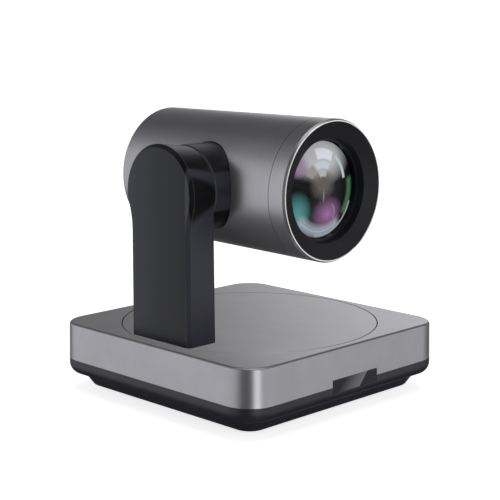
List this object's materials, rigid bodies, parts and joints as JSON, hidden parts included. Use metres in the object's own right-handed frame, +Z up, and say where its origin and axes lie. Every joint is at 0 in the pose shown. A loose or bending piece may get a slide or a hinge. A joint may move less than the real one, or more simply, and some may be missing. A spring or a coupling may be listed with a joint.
{
  "type": "ptz camera",
  "caption": "Tabletop pan-tilt-zoom camera: square base with a turntable, side arm, and a tilting cylindrical head with a zoom lens",
  "frame": {"origin": "centre of the base, on the surface that the feet stand on", "axes": "+Z up; the lens looks along -Y at rest; the arm stands on the -X side"},
  "size_m": [0.15, 0.15, 0.1528],
  "materials": {
    "silver_paint": "satin metallic",
    "arm_paint": "satin",
    "dark_plastic": "fine texture",
    "gloss_black": "polished, passes infrared",
    "light_guide": "clear",
    "rubber": "matte",
    "belt_rubber": "matte",
    "brass": "turned",
    "steel": "zinc plated",
    "bare_aluminium": "machined",
    "polished_metal": "polished edge",
    "circuit_board": "solder mask",
    "chip_plastic": "moulded",
    "black_plastic": "anti-glare black",
    "cable_film": "polyimide film",
    "lens_glass": "coated"
  },
  "bodies": {
    "base": {"base_tray": "dark_plastic", "base_shell": "silver_paint", "ir_window": "gloss_black", "ir_receiver": "gloss_black", "status_light": "light_guide", "rubber_feet": "rubber", "tripod_insert": "brass", "base_screws": "steel", "base_chassis": "steel", "main_board": "circuit_board", "board_chips": "chip_plastic", "heat_sink": "bare_aluminium", "rear_panel": "dark_plastic", "power_jack": "black_plastic", "video_port": "steel", "usb_port": "steel", "control_ports": "black_plastic", "pan_bearing": "steel", "pan_motor": "steel", "pan_belt": "belt_rubber", "pan_home_sensor": "chip_plastic"},
    "turntable": {"turntable_disc": "silver_paint", "pan_hub": "bare_aluminium", "pan_pulley": "bare_aluminium", "arm_casing": "arm_paint", "arm_cover": "arm_paint", "arm_chassis": "steel", "tilt_bearings": "steel", "tilt_motor": "steel", "tilt_belt": "belt_rubber", "arm_screws": "steel", "head_cable": "cable_film"},
    "pan_rotor": {"pan_motor_pulley": "brass"},
    "tilt_rotor": {"tilt_motor_pulley": "brass"},
    "head": {"tilt_pulley": "bare_aluminium", "barrel_shell": "silver_paint", "rear_cap": "dark_plastic", "rear_cap_screws": "steel", "front_ring": "silver_paint", "front_lip": "polished_metal", "lens_bezel": "black_plastic", "front_lens": "lens_glass", "lens_retainer": "black_plastic", "lens_housing": "black_plastic", "group_ring": "black_plastic", "second_lens": "lens_glass", "guide_rods": "steel", "sensor_board": "circuit_board", "image_sensor": "chip_plastic", "zoom_motor": "steel", "focus_motor": "steel", "neck_collar": "arm_paint", "tilt_shaft": "steel", "head_frame": "bare_aluminium"},
    "zoom_group": {"zoom_carriage": "black_plastic", "zoom_lens": "lens_glass"},
    "focus_group": {"focus_carriage": "black_plastic", "focus_lens": "lens_glass"},
    "zoom_drive": {"zoom_screw": "steel"},
    "focus_drive": {"focus_screw": "steel"}
  },
  "joints": [
    {"name": "pan", "type": "hinge", "parent": "base", "child": "turntable", "pos_m": [0, 0, 0.038], "axis": [0, 0, 1], "range_deg": [-170, 170]},
    {"name": "tilt", "type": "hinge", "parent": "turntable", "child": "head", "pos_m": [-0.0464, 0, 0.11585], "axis": [-1, 0, 0], "range_deg": [-30, 90]},
    {"name": "pan_motor_spin", "type": "hinge", "parent": "base", "child": "pan_rotor", "pos_m": [0.04, -0.03, 0.025], "axis": [0, 0, 1], "range_deg": [-680.5, 680.5]},
    {"name": "tilt_motor_spin", "type": "hinge", "parent": "turntable", "child": "tilt_rotor", "pos_m": [-0.06, 0, 0.064], "axis": [-1, 0, 0], "range_deg": [-90.5, 270.5]},
    {"name": "zoom_screw_spin", "type": "hinge", "parent": "head", "child": "zoom_drive", "pos_m": [0, -0.0265, 0.13845], "axis": [0, 1, 0], "range_deg": [-0.5, 2880.5]},
    {"name": "zoom_slide", "type": "slide", "parent": "head", "child": "zoom_group", "axis": [0, 1, 0], "range_m": [0, 0.016]},
    {"name": "focus_screw_spin", "type": "hinge", "parent": "head", "child": "focus_drive", "pos_m": [0, 0.0095, 0.09325], "axis": [0, 1, 0], "range_deg": [-0.5, 1800.5]},
    {"name": "focus_slide", "type": "slide", "parent": "head", "child": "focus_group", "axis": [0, 1, 0], "range_m": [0, 0.01]}
  ],
  "couplings": [
    {"joint": "pan_motor_spin", "follows": "pan", "ratio": 4},
    {"joint": "tilt_motor_spin", "follows": "tilt", "ratio": 3},
    {"joint": "zoom_screw_spin", "follows": "zoom_slide", "rad_per_m": 3141.6},
    {"joint": "focus_screw_spin", "follows": "focus_slide", "rad_per_m": 3141.6}
  ]
}
